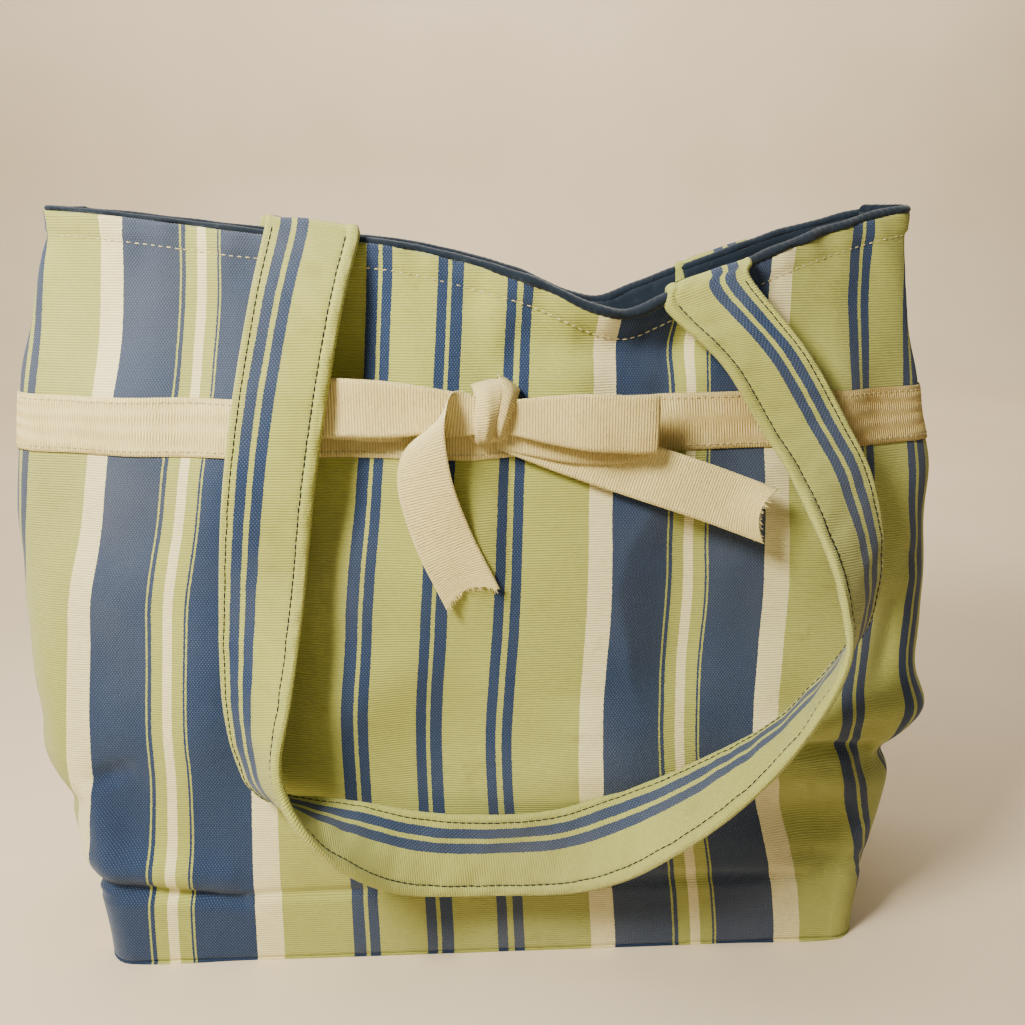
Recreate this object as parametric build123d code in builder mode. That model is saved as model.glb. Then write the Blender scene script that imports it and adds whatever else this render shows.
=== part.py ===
from build123d import *
import os
from math import cos, pi, sin

# A striped canvas tote bag, standing open on its base, with a ribbon band, a
# bow and two cloth handles that hang down outside the panels. Millimetres.
# Origin: centre of the underside of the base. Front faces -Y, +Z is up.

# ---- bag body ----
base_width = 370
base_depth = 120
base_corner = 14
board_fold_height = 36
board_fold_spread = 3
belly_low_height = 85
belly_low_width = 414
belly_low_side = 96
belly_height = 165
belly_width = 438
belly_side = 70
bulge_height = 235
bulge_width = 443
bulge_depth = 112
bulge_side = 56
belly_corner = 24
corner_height = 351
mouth_width = 400
mouth_depth = 88
mouth_side = 30
mouth_corner = 14

# ---- cloth ----
canvas = 0.9
lining = 0.5
layer_gap = 0.15
touch_gap = 0.1
tab_thick = 2.0
hem_drop = 12
seam_allowance = 10

# ---- rim: how far the rim sags below the corners at each place along X ----
rim_dips = [(-95, 10), (-45, 14), (15, 28), (58, 44), (80, 36), (115, 23), (160, 8)]
rim_margin = 10
roll_width = 4.1
roll_height = 3.6
thread = 0.45

# ---- base ----
board_thick = 2.5
board_clearance = 1.2
board_corner = 12

# ---- ribbon band and bow ----
ribbon = 0.6
ribbon_width = 25
band_height = 261
band_stitch_inset = 2.2
knot_width = 21
knot_height = 27
knot_front = 15
knot_round = 4
knot_centre_x = 1
knot_centre_z = 268
knot_clearance = 0.5
loop_clearance = 0.7
left_loop_length = 63
left_loop_depth = 7.5
left_loop_height = 271
right_loop_length = 61
right_loop_depth = 8
right_loop_height = 262
tail_clearance = 0.6
tail_gathered = 16

# ---- handles ----
strap_width = 39
strap_ply = 1.7
ply_gap = 0.05
tab_depth = 28
tab_overhang = 2.4
tab_rise = 2.8
left_attach = -71
right_attach = 97
back_left_attach = -88
back_right_attach = 117
attach_drop = 3.5

# ---- how finely a level outline is drawn, and how far a cutting block reaches ----
outline_steps = 4
block_reach = 400

# Each level: height, width, depth at the middle, depth at the sides, corner radius.
levels = [
    (0, base_width, base_depth, base_depth, base_corner),
    (board_fold_height, base_width + 2 * board_fold_spread, base_depth, base_depth, base_corner),
    (belly_low_height, belly_low_width, base_depth + board_fold_spread, belly_low_side, belly_corner),
    (belly_height, belly_width, base_depth, belly_side, belly_corner),
    (bulge_height, bulge_width, bulge_depth, bulge_side, belly_corner),
    (corner_height + rim_margin, mouth_width, mouth_depth, mouth_side, mouth_corner),
]

# Layers from the outside in: canvas, turned-in hem, handle tab, lining.
hem_outer = canvas + layer_gap
hem_inner = hem_outer + canvas
tab_outer = hem_inner + layer_gap
tab_inner = tab_outer + tab_thick
lining_outer = tab_inner + layer_gap
lining_inner = lining_outer + lining
board_top = canvas + board_thick
lining_floor = board_top + lining


# ---------------------------------------------------------------- the bag's shape
def rim_points(shift):
    """Points of the rim line in the X-Z plane, raised by the shift."""
    half = mouth_width / 2
    end = bulge_width / 2 + strap_width
    dips = [(-end, 0), (-half, 0)] + rim_dips + [(half, 0), (end, 0)]
    return [(x, corner_height - dip + shift) for x, dip in dips]


def rim_drop(x):
    """How far the rim lies below the corners at a place along X."""
    points = rim_points(0)
    for (low_x, low_z), (high_x, high_z) in zip(points, points[1:]):
        if low_x <= x <= high_x:
            return corner_height - low_z - (high_z - low_z) * (x - low_x) / (high_x - low_x)
    return 0


def level_outline(width, depth, side, corner, inset):
    """Points round one level: a rounded box whose long faces bow outwards."""
    half = width / 2 - inset
    end = side / 2 - inset
    bow = (depth - side) / 2
    radius = max(corner - inset, layer_gap)
    shares = [step / outline_steps for step in range(outline_steps)]
    flank = [(half, (end - radius) * share) for share in shares]
    bend = [
        (half - radius + radius * cos(pi / 2 * share), end - radius + radius * sin(pi / 2 * share))
        for share in shares
    ]
    face = [((half - radius) * (1 - share), end) for share in shares]
    quarter = [(x, y + bow * (1 - (x / half) ** 2) * y / end) for x, y in flank + bend + face]
    upper = quarter + [(0, end + bow)] + [(-x, y) for x, y in reversed(quarter)]
    return upper + [(x, -y) for x, y in reversed(upper[1:-1])]


def face_distance(x, z):
    """Distance of a panel's outer face from the middle plane, at a place on it."""
    for low, high in zip(levels, levels[1:]):
        if low[0] <= z <= high[0]:
            share = (z - low[0]) / (high[0] - low[0])
            half, middle, end = [(low[k] + (high[k] - low[k]) * share) / 2 for k in (1, 2, 3)]
            return end + (middle - end) * (1 - min(abs(x) / half, 1) ** 2)
    return mouth_depth / 2


def outline_at(z, inset):
    """Points round the bag at any height, straight up from level to level."""
    for low, high in zip(levels, levels[1:]):
        if low[0] <= z <= high[0]:
            share = (z - low[0]) / (high[0] - low[0])
            under = level_outline(*low[1:], inset)
            over = level_outline(*high[1:], inset)
            pairs = zip(under, over)
            return [(x0 + (x1 - x0) * share, y0 + (y1 - y0) * share) for (x0, y0), (x1, y1) in pairs]
    return level_outline(*levels[-1][1:], inset)


def heights_between(low, high):
    """The two heights and every level between them."""
    return [low] + [level[0] for level in levels if low < level[0] < high] + [high]


def front_shell(outer, inner, low, high):
    """The front half of a cloth layer between two insets and two heights."""
    with BuildPart() as layer:
        for height in heights_between(low, high):
            outside = front_points(outline_at(height, outer))
            inside = front_points(outline_at(height, inner))
            with BuildSketch(Plane.XY.offset(height)):
                with BuildLine():
                    Spline(*outside)
                    Line(outside[-1], inside[-1])
                    Spline(*inside)
                    Line(inside[0], outside[0])
                make_face()
        loft(ruled=True)
    return layer.part


def front_points(outline):
    """The front half of an outline, from its left end to its right end."""
    half = len(outline) // 2
    return outline[half:] + outline[:1]


def plate(inset, low, high):
    """A level plate that fills the bag's outline at a small thickness."""
    with BuildPart() as whole:
        for height in (low, high):
            with BuildSketch(Plane.XY.offset(height)):
                with BuildLine():
                    Spline(*outline_at(height, inset), periodic=True)
                make_face()
        loft(ruled=True)
    return whole.part


def rim_zone(low, high, x_low=-block_reach, x_high=block_reach):
    """Everything between two copies of the rim line, in front of the middle plane."""
    under = rim_points(low)
    over = rim_points(high)
    with BuildPart() as zone:
        with BuildSketch(Plane.XZ):
            with BuildLine():
                Spline(*under)
                Line(under[-1], over[-1])
                Spline(*over)
                Line(over[0], under[0])
            make_face()
            with Locations(((x_low + x_high) / 2, corner_height / 2)):
                Rectangle(x_high - x_low, 2 * block_reach, mode=Mode.INTERSECT)
        extrude(amount=block_reach)
    return zone.part


def trimmed(cloth, zone):
    """The part of a cloth layer that lies inside a zone."""
    with BuildPart() as kept:
        add(cloth)
        add(zone, mode=Mode.INTERSECT)
    return kept.part


def save(part, name):
    part.label = name
    export_step(part, f"parts/{name}.step")


def mirrored(part):
    """The mirror image of a front piece, at the back of the bag."""
    with BuildPart() as back_piece:
        mirror(part, about=Plane.XZ)
    return back_piece.part


def save_front_and_back(part, name):
    """Writes a front piece, and its mirror image at the back, under two names."""
    save(part, name.format("front"))
    save(mirrored(part), name.format("back"))


os.makedirs("parts", exist_ok=True)

# The rim's lowest line, and the height up to which the layers near it are cut.
rim_bottom = corner_height - max(dip for x, dip in rim_dips) - tab_depth - rim_margin
rim_top = corner_height + rim_margin - layer_gap


# ---------------------------------------------------------------- handle tabs
def handle_tab(attach):
    """The sewn-in end of a strap: a tongue inside the wall and a lip over the rim."""
    reach = strap_width / 2
    tongue_zone = rim_zone(-tab_depth, tab_rise, attach - reach, attach + reach)
    lip_zone = rim_zone(layer_gap, tab_rise, attach - reach, attach + reach)
    tongue = trimmed(front_shell(tab_outer, tab_inner, rim_bottom, rim_top), tongue_zone)
    lip = trimmed(front_shell(-tab_overhang, tab_outer, rim_bottom, rim_top), lip_zone)
    with BuildPart() as tab:
        add(tongue)
        add(lip)
    return tab.part


front_tabs = [handle_tab(left_attach), handle_tab(right_attach)]
back_tabs = [handle_tab(back_left_attach), handle_tab(back_right_attach)]
for side_name, front_tab, back_tab in zip(("left", "right"), front_tabs, back_tabs):
    save(front_tab, "front_handle_tab_" + side_name)
    save(mirrored(back_tab), "back_handle_tab_" + side_name)

# ---------------------------------------------------------------- walls
below_rim = rim_zone(-2 * corner_height, 0)
save_front_and_back(trimmed(front_shell(0, canvas, canvas, rim_top), below_rim), "{}_panel")

hem = front_shell(hem_outer, hem_inner, rim_bottom, rim_top)
save_front_and_back(trimmed(hem, rim_zone(-hem_drop, 0)), "rim_hem_{}")

lining_wall = front_shell(lining_outer, lining_inner, lining_floor, rim_top)
save_front_and_back(trimmed(lining_wall, below_rim), "lining_{}")


def rim_roll(tabs):
    """The lining rolled over the top edge, left open where the handle tabs pass."""
    with BuildPart() as roll:
        add(front_shell(hem_outer, hem_outer + roll_width, rim_bottom, rim_top))
        add(rim_zone(layer_gap, roll_height), mode=Mode.INTERSECT)
        for tab_part in tabs:
            add(tab_part, mode=Mode.SUBTRACT)
    return roll.part


save(rim_roll(front_tabs), "rim_roll_front")
save(mirrored(rim_roll(back_tabs)), "rim_roll_back")

# ---------------------------------------------------------------- ribbon band
band_low = band_height - ribbon_width / 2
band_high = band_height + ribbon_width / 2
band_outer = -touch_gap - ribbon
save_front_and_back(front_shell(band_outer, -touch_gap, band_low, band_high), "ribbon_band_{}")

with BuildPart() as band_stitches:
    for low in (band_low + band_stitch_inset, band_high - band_stitch_inset - thread):
        add(front_shell(band_outer - touch_gap - thread, band_outer - touch_gap, low, low + thread))
save_front_and_back(band_stitches.part, "band_stitches_{}")


# ---------------------------------------------------------------- side seams
# Seam allowances: the canvas edges pressed flat inside each side seam.
def seam_allowance_at(side):
    """The front panel's seam allowance on one side (-1 left, +1 right)."""
    layer = front_shell(hem_outer, hem_inner, board_top, corner_height - hem_drop - layer_gap)
    with BuildPart() as strip_zone:
        with BuildSketch(Plane.XY):
            with Locations((side * block_reach / 2, -seam_allowance / 2)):
                Rectangle(block_reach, seam_allowance)
        extrude(amount=corner_height)
    return trimmed(layer, strip_zone.part)


for side_name, side in (("left", -1), ("right", 1)):
    save_front_and_back(seam_allowance_at(side), "{}_seam_allowance_" + side_name)

# ---------------------------------------------------------------- base
save(plate(0, 0, canvas), "base_panel")

with BuildPart() as base_board:
    with BuildSketch(Plane.XY.offset(canvas)):
        margin = 2 * (canvas + board_clearance)
        RectangleRounded(base_width - margin, base_depth - margin, board_corner)
    extrude(amount=board_thick)
save(base_board.part, "base_board")

save(plate(lining_outer, board_top, lining_floor), "lining_base")


# ---------------------------------------------------------------- strips of cloth
def section_plane(stations, index):
    """The plane of one station, square to the strip's run and along its edge direction."""
    before = Vector(*stations[max(index - 1, 0)][0])
    after = Vector(*stations[min(index + 1, len(stations) - 1)][0])
    centre, edge, width = stations[index]
    across = Vector(*edge).normalized()
    face = (after - before).cross(across).normalized()
    return Plane(origin=centre, x_dir=across, z_dir=across.cross(face))


def strip(stations, thickness, lift):
    """A flat strip of cloth through stations of centre, edge direction and width."""
    with BuildPart() as cloth:
        for index in range(len(stations) - 1):
            for end in (index, index + 1):
                with BuildSketch(section_plane(stations, end)):
                    with Locations((0, lift)):
                        Rectangle(stations[end][2], thickness)
            loft(ruled=True)
    return cloth.part


# The handle's route: place along X, height below the corners, how far the
# strap's middle stands off the panel, and which way its second edge points.
# The two sewn ends are measured from the rim instead of from the corners.
handle_route = [
    (left_attach, attach_drop, 5, (1, 0, -0.1)),
    (-77, 36, 13, (1, 0, 0)),
    (-85, 76, 17.5, (1, 0, 0)),
    (-92, 118, 17, (1, -0.05, 0)),
    (-97, 161, 16.5, (0.98, -0.2, 0.05)),
    (-101, 204, 20, (0.86, -0.47, 0.2)),
    (-101, 233, 24, (0.6, -0.7, 0.4)),
    (-95, 249, 26, (0.4, -0.8, 0.4)),
    (-84, 258, 27, (0.35, -0.93, 0)),
    (-67, 269, 23, (0.25, -0.85, -0.45)),
    (-38, 284, 14, (0.1, -0.4, -0.9)),
    (0, 289, 11, (0.1, -0.2, -0.98)),
    (40, 286, 13, (0.2, -0.4, -0.9)),
    (76, 267, 21, (0.3, -0.85, -0.4)),
    (110, 244, 26, (0.2, -0.95, 0)),
    (136, 220, 30, (0.06, -0.94, 0.34)),
    (157, 191, 32, (-0.3, -0.9, 0.28)),
    (164, 172, 29, (-0.6, -0.75, 0.25)),
    (163, 146, 25, (-0.82, -0.55, 0.07)),
    (152, 113, 18, (-0.98, -0.17, 0.02)),
    (140, 92, 14.5, (-1, 0, -0.05)),
    (121, 62, 13, (-1, 0, -0.1)),
    (right_attach, attach_drop, 6, (-0.95, 0, -0.3)),
]


def handle_stations(left, right):
    """The route spread between two places on the rim, hanging outside the front panel."""
    spread = (right - left) / (right_attach - left_attach)
    stations = []
    for along, drop, stand, edge in handle_route:
        x = left + (along - left_attach) * spread
        sewn_end = along in (left_attach, right_attach)
        z = corner_height - drop - (rim_drop(x) if sewn_end else 0)
        stations.append(((x, -face_distance(x, z) - stand, z), edge, strap_width))
    return stations


ply_middle = (strap_ply + ply_gap) / 2
for ply_name, ply_offset in (("face_ply", ply_middle), ("backing_ply", -ply_middle)):
    front_ply = strip(handle_stations(left_attach, right_attach), strap_ply, ply_offset)
    save(front_ply, "front_handle_" + ply_name)
    back_ply = strip(handle_stations(back_left_attach, back_right_attach), strap_ply, ply_offset)
    save(mirrored(back_ply), "back_handle_" + ply_name)

# ---------------------------------------------------------------- bow
band_face = face_distance(0, band_height) + touch_gap + ribbon
knot_back = band_face + tail_clearance
tail_plane = face_distance(0, belly_height) - tail_clearance
knot_left = knot_centre_x - knot_width / 2 - knot_clearance
knot_right = knot_centre_x + knot_width / 2 + knot_clearance

with BuildPart() as bow_knot:
    with BuildSketch(Plane.XY.offset(knot_centre_z - knot_height / 2)):
        with Locations((knot_centre_x, -knot_back - knot_front / 2)):
            Rectangle(knot_width, knot_front)
    extrude(amount=knot_height)
    fillet(bow_knot.edges().filter_by(Axis.Z), knot_round)
save(bow_knot.part, "bow_knot")


def loop_outline(start, tip, back, front):
    """Points round a bow loop seen from above, from its root to its fold."""
    middle = (back + front) / 2
    half_way = (start + tip) / 2
    return [(start, -middle), (half_way, -front), (tip, -middle), (half_way, -back)]


def bow_loop(start, length, back, depth, middle_height):
    """One loop of the bow: a ribbon that goes out, folds over and comes back."""
    front = back + depth
    inward = ribbon if length > 0 else -ribbon
    outer = loop_outline(start, start + length, back, front)
    inner = loop_outline(start + inward, start + length - inward, back + ribbon, front - ribbon)
    with BuildPart() as loop:
        with BuildSketch(Plane.XY.offset(middle_height - ribbon_width / 2)):
            with BuildLine():
                Spline(*outer, periodic=True)
            make_face()
            with BuildLine():
                Spline(*inner, periodic=True)
            make_face(mode=Mode.SUBTRACT)
        extrude(amount=ribbon_width)
    return loop.part


left_loop_back = band_face + loop_clearance
right_loop_back = tail_plane + ribbon + loop_clearance
save(
    bow_loop(knot_left, -left_loop_length, left_loop_back, left_loop_depth, left_loop_height),
    "bow_loop_left",
)
save(
    bow_loop(knot_right, right_loop_length, right_loop_back, right_loop_depth, right_loop_height),
    "bow_loop_right",
)

# The left tail falls in front of the left loop; the right one lies flat below the right loop.
left_tail_front = left_loop_back + left_loop_depth + tail_clearance + ribbon
left_tail_x = knot_left - knot_clearance - tail_gathered / 2
left_tail = [
    ((left_tail_x, -left_tail_front, knot_centre_z), (1, 0, 0), tail_gathered),
    ((left_tail_x - 4, -left_tail_front, knot_centre_z - 18), (1, 0, 0), ribbon_width - 3),
    ((left_tail_x - 4, -left_tail_front, knot_centre_z - 38), (1, 0, 0.1), ribbon_width),
    ((left_tail_x + 3, -left_tail_front, knot_centre_z - 60), (0.95, 0, 0.3), ribbon_width),
    ((left_tail_x + 12, -left_tail_front, knot_centre_z - 80), (0.92, 0, 0.39), ribbon_width),
]
save(strip(left_tail, ribbon, 0), "bow_tail_left")

right_tail_z = knot_centre_z - knot_height / 2 - 4
right_tail = [
    ((knot_right + 1, -tail_plane, right_tail_z), (0.25, 0, 0.97), ribbon_width),
    ((knot_right + 60, -tail_plane, right_tail_z - 17), (0.25, 0, 0.97), ribbon_width),
    ((knot_right + 115, -tail_plane, right_tail_z - 31), (0.25, 0, 0.97), ribbon_width),
]
save(strip(right_tail, ribbon, 0), "bow_tail_right")
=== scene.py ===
import math
import bpy
import numpy as np
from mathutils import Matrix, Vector, noise


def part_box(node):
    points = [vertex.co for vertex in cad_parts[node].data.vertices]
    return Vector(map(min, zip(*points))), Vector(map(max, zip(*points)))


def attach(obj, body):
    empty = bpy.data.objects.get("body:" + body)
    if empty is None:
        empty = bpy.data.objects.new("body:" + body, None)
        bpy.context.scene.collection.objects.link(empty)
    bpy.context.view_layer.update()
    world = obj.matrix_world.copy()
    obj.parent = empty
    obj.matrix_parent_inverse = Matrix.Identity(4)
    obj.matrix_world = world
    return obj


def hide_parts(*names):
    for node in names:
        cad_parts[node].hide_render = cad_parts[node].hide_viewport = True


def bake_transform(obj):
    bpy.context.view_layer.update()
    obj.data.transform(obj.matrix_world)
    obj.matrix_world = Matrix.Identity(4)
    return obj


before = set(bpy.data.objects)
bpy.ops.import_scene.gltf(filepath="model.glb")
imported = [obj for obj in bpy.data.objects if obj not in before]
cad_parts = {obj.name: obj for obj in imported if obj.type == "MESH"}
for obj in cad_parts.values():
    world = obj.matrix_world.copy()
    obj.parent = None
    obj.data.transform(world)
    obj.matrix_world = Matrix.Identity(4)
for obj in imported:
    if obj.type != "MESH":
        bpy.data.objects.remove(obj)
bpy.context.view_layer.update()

# A striped canvas tote with a ribbon band, a bow and two hanging handles.
# Sizes are metres, in the CAD frame: +Z up, the front faces -Y.
MM = 0.001
random = np.random.default_rng(7)

# ---- the bag's shape, read from the CAD panels ----
panel_low, panel_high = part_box("front_panel")
base_low, base_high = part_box("base_board")
band_low, band_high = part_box("ribbon_band_front")
BOARD_MARGIN = 4.2 * MM
BULGE_WIDTH = panel_high[0] - panel_low[0]
BASE_WIDTH = base_high[0] - base_low[0] + BOARD_MARGIN
BASE_DEPTH = base_high[1] - base_low[1] + BOARD_MARGIN
BASE_CORNER = 14 * MM
BELLY_CORNER = 24 * MM
CORNER_HEIGHT = 351 * MM
TOP_LEVEL = CORNER_HEIGHT + 10 * MM
BOARD_FOLD = 36 * MM
BAND_MIDDLE = (band_low[2] + band_high[2]) / 2

# Height, width, depth at the middle, depth at the sides, corner radius.
LEVELS = np.array([
    (0, BASE_WIDTH, BASE_DEPTH, BASE_DEPTH, BASE_CORNER),
    (BOARD_FOLD, BASE_WIDTH + 6 * MM, BASE_DEPTH, BASE_DEPTH, BASE_CORNER),
    (85 * MM, 414 * MM, BASE_DEPTH + 3 * MM, 96 * MM, BELLY_CORNER),
    (165 * MM, 438 * MM, BASE_DEPTH, 70 * MM, BELLY_CORNER),
    (235 * MM, BULGE_WIDTH, 112 * MM, 56 * MM, BELLY_CORNER),
    (TOP_LEVEL, 400 * MM, 88 * MM, 30 * MM, BASE_CORNER),
])

# How far the rim sags below the corners, place by place along X, in millimetres.
RIM_DIPS = [
    (-250, 0), (-201, 0), (-95, 10), (-45, 14), (15, 28), (58, 44), (80, 36), (115, 23), (160, 8),
    (201, 0), (250, 0),
]

PANEL_CLOTH = 0.63 * MM
SEAM_CLOTH = 0.6 * MM
LINING_CLOTH = 0.4 * MM
LINING_INSET = 4.4 * MM
RIM_STITCH_DROP = 10 * MM
RIBBON = 0.45 * MM
RIBBON_WIDTH = 25 * MM
RIBBON_LIFT = 0.75 * MM
RIB_PITCH = 1.25 * MM
RIB_HEIGHT = 0.17 * MM
RIBBED_SHARE = 0.46
STRAP_WIDTH = 39 * MM
STRAP_THICK = 3.4 * MM
TUBE_SIDES = {"stitch": 6, "fibre": 4, "lip": 16}
TUBE_RINGS = 5


# ------------------------------------------------------------------ curves
def smooth_curve(x, xs, ys):
    """A smooth curve through points, with no overshoot between them."""
    xs = np.asarray(xs, float)
    ys = np.asarray(ys, float)
    steps = np.diff(xs)
    slopes = np.diff(ys) / steps
    tangent = np.zeros(len(xs))
    product = slopes[1:] * slopes[:-1]
    same_way = product > 0
    tangent[1:-1][same_way] = 2 * product[same_way] / (slopes[1:] + slopes[:-1])[same_way]
    x = np.clip(x, xs[0], xs[-1])
    k = np.clip(np.searchsorted(xs, x, side="right") - 1, 0, len(steps) - 1)
    t = (x - xs[k]) / steps[k]
    return (
        ys[k] * (1 + 2 * t) * (1 - t) ** 2
        + tangent[k] * steps[k] * t * (1 - t) ** 2
        + ys[k + 1] * t * t * (3 - 2 * t)
        + tangent[k + 1] * steps[k] * t * t * (t - 1)
    )


def spline_points(points, count):
    """Points of a Catmull-Rom curve through 3-D points, evenly spaced along it."""
    points = np.asarray(points, float)
    padded = np.vstack([2 * points[0] - points[1], points, 2 * points[-1] - points[-2]])
    fine = []
    for k in range(1, len(padded) - 2):
        p0, p1, p2, p3 = padded[k - 1:k + 3]
        for t in np.linspace(0, 1, 24, endpoint=False):
            fine.append(0.5 * (
                2 * p1 + (p2 - p0) * t + (2 * p0 - 5 * p1 + 4 * p2 - p3) * t ** 2
                + (3 * p1 - p0 - 3 * p2 + p3) * t ** 3
            ))
    fine.append(points[-1])
    return resample(np.array(fine), count)


def arc_length(points):
    """Distance along a line at each of its points."""
    steps = np.linalg.norm(np.diff(points[:, :3], axis=0), axis=1)
    return np.concatenate([[0], np.cumsum(steps)])


def resample(points, count):
    """The same line with evenly spaced points; extra columns are carried along."""
    length = arc_length(points)
    at = np.linspace(0, length[-1], count)
    return np.column_stack([np.interp(at, length, column) for column in points.T])


def unit(vectors):
    return vectors / np.maximum(np.linalg.norm(vectors, axis=-1, keepdims=True), 1e-9)


def strip_axes(line):
    """Centre, edge direction and normal along a strip, whose columns 3 to 5 are its edge."""
    centre = line[:, :3]
    cross = unit(line[:, 3:6])
    along = unit(np.gradient(centre, axis=0))
    return centre, cross, unit(np.cross(along, cross))


def rib_wave(length, height=RIB_HEIGHT):
    """The ribbon's cross ribs at a distance along it."""
    return height * np.cos(2 * math.pi * length / RIB_PITCH)


def wobble(points, scale, seed=0.0):
    """Smooth noise, about -1 to 1, at each 3-D point."""
    flat = np.asarray(points).reshape(-1, 3) / scale
    values = [noise.noise(Vector((p[0] + seed, p[1] + 1.7 * seed, p[2] - seed))) for p in flat]
    return 2 * np.array(values).reshape(np.asarray(points).shape[:-1])


# ------------------------------------------------------------------ meshes
def mesh_object(name, points, faces, material, uvs=None):
    mesh = bpy.data.meshes.new(name)
    mesh.from_pydata([tuple(p) for p in points], [], [tuple(f) for f in faces])
    if uvs is not None:
        layer = mesh.uv_layers.new(name="Cloth")
        corner_points = np.empty(len(mesh.loops), int)
        mesh.loops.foreach_get("vertex_index", corner_points)
        layer.data.foreach_set("uv", np.asarray(uvs, float)[corner_points].ravel())
    mesh.materials.append(material)
    mesh.polygons.foreach_set("use_smooth", [True] * len(mesh.polygons))
    mesh.update()
    thing = bpy.data.objects.new(name, mesh)
    bpy.context.scene.collection.objects.link(thing)
    return thing


def grid_faces(rows, columns, wrap=False):
    faces = []
    last = columns if wrap else columns - 1
    for r in range(rows - 1):
        for c in range(last):
            n = (c + 1) % columns
            low = r * columns
            high = low + columns
            faces.append((low + c, low + n, high + n, high + c))
    return faces


def cloth_uvs(across, along, points):
    """Cloth distances for each point of a grid, from arrays that spread over it."""
    shape = points.shape[:2]
    return np.stack([np.broadcast_to(across, shape), np.broadcast_to(along, shape)], -1)


def grid_object(name, points, material, uvs=None, wrap=False, flip=False):
    """A sheet from a rows x columns array of points."""
    rows, columns = points.shape[:2]
    faces = grid_faces(rows, columns, wrap)
    if flip:
        faces = [face[::-1] for face in faces]
    flat_uvs = None if uvs is None else uvs.reshape(-1, 2)
    return mesh_object(name, points.reshape(-1, 3), faces, material, flat_uvs)


def thicken(thing, thickness, offset=-1.0):
    """Gives a sheet its cloth thickness, and applies it."""
    modifier = thing.modifiers.new("Thickness", "SOLIDIFY")
    modifier.thickness = thickness
    modifier.offset = offset
    modifier.use_even_offset = False
    depsgraph = bpy.context.evaluated_depsgraph_get()
    depsgraph.update()
    mesh = bpy.data.meshes.new_from_object(thing.evaluated_get(depsgraph))
    old = thing.data
    thing.modifiers.clear()
    thing.data = mesh
    bpy.data.meshes.remove(old)


def tube_faces(start, sides):
    """Faces of a closed tube whose rings of points begin at an index."""
    faces = []
    for r in range(TUBE_RINGS - 1):
        for s in range(sides):
            n = (s + 1) % sides
            a = start + r * sides
            faces.append((a + s, a + n, a + sides + n, a + sides + s))
    faces.append([start + s for s in reversed(range(sides))])
    faces.append([start + (TUBE_RINGS - 1) * sides + s for s in range(sides)])
    return faces


def stitches(name, path, normals, pitch, length, radius, material):
    """A row of separate thread stitches lying along a path on the cloth."""
    sides = TUBE_SIDES["stitch"]
    steps = 8
    total = arc_length(path)[-1]
    count = max(int(total / pitch), 1)
    line = resample(np.column_stack([path, normals]), count * steps + 1)
    points = []
    faces = []
    for k in range(count):
        first = line[k * steps]
        last_index = int(round(k * steps + steps * length / pitch))
        last = line[min(last_index, len(line) - 1)]
        middle = line[min((k * steps + last_index) // 2, len(line) - 1)]
        along = unit(last[:3] - first[:3])
        up = unit(middle[3:])
        side = np.cross(along, up)
        jitter = random.normal(0, 0.06, 2) * radius
        faces += tube_faces(len(points), sides)
        for r in range(TUBE_RINGS):
            t = r / (TUBE_RINGS - 1)
            base = first[:3] * (1 - t) + last[:3] * t + side * jitter[0] * 3
            bulge = math.sin(math.pi * t)
            height = radius * 1.35 * bulge - radius * 0.5
            ring_radius = radius * (0.45 + 0.55 * bulge ** 0.5)
            for s in range(sides):
                angle = 2 * math.pi * s / sides
                rise = height + ring_radius * math.sin(angle)
                points.append(base + up * rise + side * ring_radius * math.cos(angle))
    return mesh_object(name, points, faces, material)


def fray(name, ends, directions, normals, length, radius, material):
    """Loose fibres that stand out of a cut ribbon end."""
    sides = TUBE_SIDES["fibre"]
    points = []
    faces = []
    for end, direction, normal in zip(ends, directions, normals):
        reach = length * (0.35 + 0.9 * random.random())
        side = unit(np.cross(direction, normal))
        sway = side * random.normal(0, 0.3) + normal * random.normal(0, 0.25)
        faces += tube_faces(len(points), sides)
        for r in range(TUBE_RINGS):
            t = r / (TUBE_RINGS - 1)
            base = end + direction * reach * t + sway * reach * t * t
            size = radius * (1 - 0.6 * t)
            for s in range(sides):
                angle = 2 * math.pi * s / sides
                points.append(base + side * size * math.cos(angle) + normal * size * math.sin(angle))
    return mesh_object(name, points, faces, material)


# ------------------------------------------------------------------ materials
def rgb(red, green, blue):
    """An sRGB colour, 0 to 255, as linear values."""
    def linear(value):
        value = value / 255
        return value / 12.92 if value <= 0.04045 else ((value + 0.055) / 1.055) ** 2.4
    return (linear(red), linear(green), linear(blue), 1.0)


GREEN = rgb(188, 191, 114)
BLUE = rgb(52, 72, 106)
CREAM = rgb(250, 240, 192)
NAVY = rgb(34, 44, 56)
IVORY = rgb(252, 240, 184)
LINT = rgb(110, 116, 116)
DIRT = (0.36, 0.27, 0.16, 1)
CANVAS_COLOURS = {"green": GREEN, "blue": BLUE, "cream": CREAM}


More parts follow.
